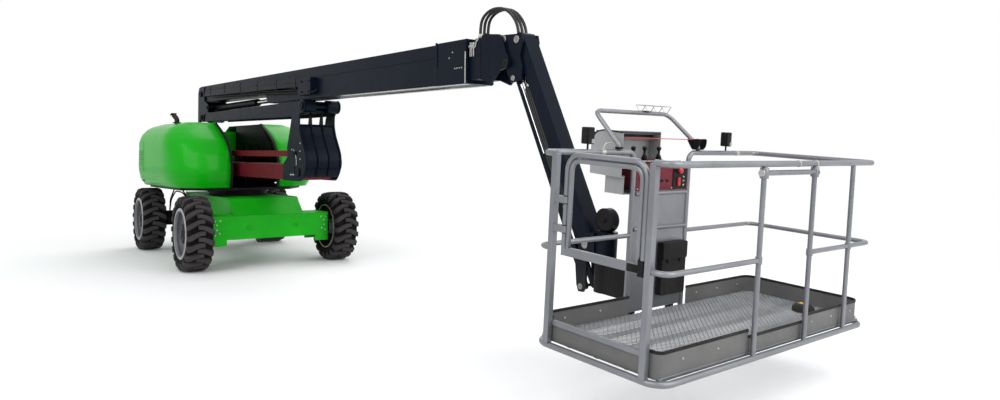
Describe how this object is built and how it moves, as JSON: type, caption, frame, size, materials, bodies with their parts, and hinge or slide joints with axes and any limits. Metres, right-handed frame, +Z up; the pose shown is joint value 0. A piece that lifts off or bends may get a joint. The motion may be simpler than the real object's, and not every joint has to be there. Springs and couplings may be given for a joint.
{
  "type": "articulating boom lift with telescopic boom and jib",
  "caption": "Self-propelled aerial work platform: steered and driven chassis, slewing turntable, Z-type arms, telescopic main boom, jib and railed basket.",
  "frame": {"origin": "on the ground, on the axis of the slewing ring", "axes": "+X along the parked boom towards the platform, +Y to the left, +Z up"},
  "size_m": [11.1243, 2.5932, 2.9254],
  "materials": {
    "bare_steel": "bare steel",
    "basket_grey": "grey paint",
    "black_paint": "satin black paint",
    "black_plastic": "moulded",
    "boom_paint": "gloss blue-black paint",
    "cover_grey": "moulded",
    "deck_mesh": "expanded metal",
    "engine_grey": "cast",
    "exhaust_steel": "heat stained",
    "green_paint": "gloss paint",
    "hood_green": "gloss moulded cover",
    "hose_rubber": "matt",
    "maroon_paint": "gloss paint",
    "panel_maroon": "satin paint",
    "rim_silver": "silver paint",
    "rod_chrome": "hard chrome",
    "toe_grey": "dark grey paint",
    "tyre": "rubber"
  },
  "bodies": {
    "chassis": {"chassis_frame": "green_paint", "drive_axle": "black_paint", "steer_axle": "black_paint", "slewing_ring": "black_paint"},
    "steer_left": {"steer_knuckle_left": "black_paint"},
    "steer_right": {"steer_knuckle_right": "black_paint"},
    "track_rod": {"track_rod": "bare_steel"},
    "turntable": {"turntable_deck": "black_paint", "boom_pedestal": "black_paint", "tunnel_walls": "black_paint", "counterweight": "green_paint", "engine_block": "engine_grey"},
    "hood_left": {"hood_left": "hood_green"},
    "hood_right": {"hood_right": "hood_green", "exhaust_outlet": "exhaust_steel"},
    "lower_arm": {"lower_arm": "maroon_paint"},
    "lower_tie": {"lower_tie": "maroon_paint"},
    "knuckle": {"knuckle_link": "boom_paint"},
    "upper_arm": {"upper_arm": "boom_paint"},
    "upper_tie": {"upper_tie": "boom_paint"},
    "upright": {"upright": "boom_paint"},
    "boom": {"boom_outer": "boom_paint", "hose_tray": "boom_paint"},
    "boom_inner": {"boom_inner": "boom_paint", "head_hoses": "hose_rubber"},
    "lift_barrel": {"lift_barrel": "black_paint"},
    "lift_rod": {"lift_rod": "rod_chrome"},
    "jib_bracket": {"jib_bracket": "boom_paint"},
    "jib_arm": {"jib_arm": "boom_paint"},
    "jib_tie": {"jib_tie": "boom_paint"},
    "jib_barrel": {"jib_barrel": "black_paint"},
    "jib_rod": {"jib_rod": "rod_chrome"},
    "jib_head": {"jib_head": "boom_paint"},
    "platform": {"platform_support": "black_paint", "basket_floor": "deck_mesh", "base_ring": "basket_grey", "top_rail": "basket_grey", "mid_rails": "basket_grey", "posts": "basket_grey", "toe_boards": "toe_grey", "console_panel": "basket_grey", "control_box": "panel_maroon", "console_shield": "cover_grey", "foot_pedal": "black_plastic", "anti_crush_bar": "basket_grey", "work_lamps": "black_plastic", "document_box": "black_plastic"},
    "gate": {"gate": "basket_grey"},
    "entry_bar": {"entry_bar": "basket_grey"},
    "wheel_drive_left": {"tyre_drive_left": "tyre", "rim_drive_left": "rim_silver"},
    "wheel_drive_right": {"tyre_drive_right": "tyre", "rim_drive_right": "rim_silver"},
    "wheel_steer_left": {"tyre_steer_left": "tyre", "rim_steer_left": "rim_silver"},
    "wheel_steer_right": {"tyre_steer_right": "tyre", "rim_steer_right": "rim_silver"}
  },
  "joints": [
    {"name": "steering_left", "type": "hinge", "parent": "chassis", "child": "steer_left", "pos_m": [-1.32366, 0.8001, 0.5], "axis": [0, 0, 1], "range_deg": [-35, 35]},
    {"name": "steering_right", "type": "hinge", "parent": "chassis", "child": "steer_right", "pos_m": [-1.41387, -0.62705, 0.5], "axis": [0, 0, 1], "range_deg": [-35, 35]},
    {"name": "track_rod_end", "type": "hinge", "parent": "steer_left", "child": "track_rod", "pos_m": [-1.51328, 0.81209, 0.394], "axis": [0, 0, 1], "range_deg": [-35, 35]},
    {"name": "wheel_drive_left_spin", "type": "hinge", "parent": "chassis", "child": "wheel_drive_left", "pos_m": [1.43261, 0.92346, 0.5], "axis": [0.0631, 0.998, 0], "continuous": true},
    {"name": "wheel_drive_right_spin", "type": "hinge", "parent": "chassis", "child": "wheel_drive_right", "pos_m": [1.30492, -1.09651, 0.5], "axis": [0.0631, 0.998, 0], "continuous": true},
    {"name": "wheel_steer_left_spin", "type": "hinge", "parent": "steer_left", "child": "wheel_steer_left", "pos_m": [-1.30492, 1.09651, 0.5], "axis": [0.0631, 0.998, 0], "continuous": true},
    {"name": "wheel_steer_right_spin", "type": "hinge", "parent": "steer_right", "child": "wheel_steer_right", "pos_m": [-1.43261, -0.92346, 0.5], "axis": [0.0631, 0.998, 0], "continuous": true},
    {"name": "slewing", "type": "hinge", "parent": "chassis", "child": "turntable", "pos_m": [0, 0, 1.02], "axis": [0, 0, 1], "continuous": true},
    {"name": "hood_left_hinge", "type": "hinge", "parent": "turntable", "child": "hood_left", "pos_m": [0, 0.3533, 2.035], "axis": [1, 0, 0], "range_deg": [0, 60]},
    {"name": "hood_right_hinge", "type": "hinge", "parent": "turntable", "child": "hood_right", "pos_m": [0, -0.3533, 2.035], "axis": [-1, 0, 0], "range_deg": [0, 60]},
    {"name": "lower_arm_raise", "type": "hinge", "parent": "turntable", "child": "lower_arm", "pos_m": [-0.55, 0, 1.33], "axis": [0, -1, 0], "range_deg": [0, 60]},
    {"name": "lower_tie_pivot", "type": "hinge", "parent": "turntable", "child": "lower_tie", "pos_m": [-0.65, 0, 1.57], "axis": [0, -1, 0], "range_deg": [0, 60]},
    {"name": "knuckle_pivot", "type": "hinge", "parent": "lower_arm", "child": "knuckle", "pos_m": [2.62, 0, 1.33], "axis": [0, -1, 0], "range_deg": [-60, 0]},
    {"name": "upper_arm_pivot", "type": "hinge", "parent": "knuckle", "child": "upper_arm", "pos_m": [2.79, 0, 2.17], "axis": [0, 1, 0], "range_deg": [0, 60]},
    {"name": "upper_tie_pivot", "type": "hinge", "parent": "knuckle", "child": "upper_tie", "pos_m": [2.74, 0, 2.11], "axis": [0, 1, 0], "range_deg": [0, 60]},
    {"name": "upright_pivot", "type": "hinge", "parent": "upper_arm", "child": "upright", "pos_m": [-1.22, 0, 2.17], "axis": [0, 1, 0], "range_deg": [-60, 0]},
    {"name": "boom_luff", "type": "hinge", "parent": "upright", "child": "boom", "pos_m": [-1.25, 0, 2.56], "axis": [0, -1, 0], "range_deg": [0, 70]},
    {"name": "boom_extend", "type": "slide", "parent": "boom", "child": "boom_inner", "axis": [1, 0, -0.008], "range_m": [0, 3.2]},
    {"name": "lift_cylinder_foot", "type": "hinge", "parent": "upright", "child": "lift_barrel", "pos_m": [-0.95, 0, 2.318], "axis": [0, -1, 0], "range_deg": [0, 72.58]},
    {"name": "lift_cylinder_rod", "type": "slide", "parent": "lift_barrel", "child": "lift_rod", "axis": [1, 0, 0.0044], "range_m": [0, 0.4281]},
    {"name": "bracket_level", "type": "hinge", "parent": "boom_inner", "child": "jib_bracket", "pos_m": [6.61, 0, 2.37], "axis": [0, -1, 0], "range_deg": [-70, 0], "deforming": ["head_hoses"]},
    {"name": "jib_luff", "type": "hinge", "parent": "jib_bracket", "child": "jib_arm", "pos_m": [6.715, 0, 2.565], "axis": [0, -1, 0], "range_deg": [0, 124]},
    {"name": "jib_tie_pivot", "type": "hinge", "parent": "jib_bracket", "child": "jib_tie", "pos_m": [6.67, 0, 2.235], "axis": [0, -1, 0], "range_deg": [0, 124]},
    {"name": "jib_head_pivot", "type": "hinge", "parent": "jib_arm", "child": "jib_head", "pos_m": [7.52594, 0, 0.87999], "axis": [0, -1, 0], "range_deg": [-124, 0]},
    {"name": "jib_cylinder_foot", "type": "hinge", "parent": "jib_arm", "child": "jib_barrel", "pos_m": [7.108, 0, 1.494], "axis": [0, -1, 0], "range_deg": [0, 0.881]},
    {"name": "jib_cylinder_rod", "type": "slide", "parent": "jib_barrel", "child": "jib_rod", "axis": [-0.4547, 0, 0.8906], "range_m": [0, 0.5561]},
    {"name": "platform_swing", "type": "hinge", "parent": "jib_head", "child": "platform", "pos_m": [7.6299, 0, 0.46565], "axis": [0.0698, 0, 0.9976], "range_deg": [-90, 90]},
    {"name": "gate_hinge", "type": "hinge", "parent": "platform", "child": "gate", "pos_m": [8.37135, -1.1745, 1.00524], "axis": [0.0698, 0, 0.9976], "range_deg": [0, 95]},
    {"name": "entry_bar_slide", "type": "slide", "parent": "platform", "child": "entry_bar", "axis": [0.0698, 0, 0.9976], "range_m": [-0.46, 0]}
  ],
  "couplings": [
    {"joint": "steering_right", "follows": "steering_left", "ratio": 1},
    {"joint": "track_rod_end", "follows": "steering_left", "ratio": -1},
    {"joint": "lower_tie_pivot", "follows": "lower_arm_raise", "ratio": 1},
    {"joint": "knuckle_pivot", "follows": "lower_arm_raise", "ratio": -1},
    {"joint": "upper_arm_pivot", "follows": "lower_arm_raise", "ratio": 1},
    {"joint": "upper_tie_pivot", "follows": "lower_arm_raise", "ratio": 1},
    {"joint": "upright_pivot", "follows": "lower_arm_raise", "ratio": -1},
    {"joint": "lift_cylinder_foot", "follows": "boom_luff", "ratio": 1.0367},
    {"joint": "lift_cylinder_rod", "follows": "boom_luff", "m_per_rad": 0.35033},
    {"joint": "bracket_level", "follows": "boom_luff", "ratio": -1},
    {"joint": "jib_tie_pivot", "follows": "jib_luff", "ratio": 1},
    {"joint": "jib_head_pivot", "follows": "jib_luff", "ratio": -1},
    {"joint": "jib_cylinder_foot", "follows": "jib_luff", "ratio": 0.007104},
    {"joint": "jib_cylinder_rod", "follows": "jib_luff", "m_per_rad": 0.25695}
  ]
}
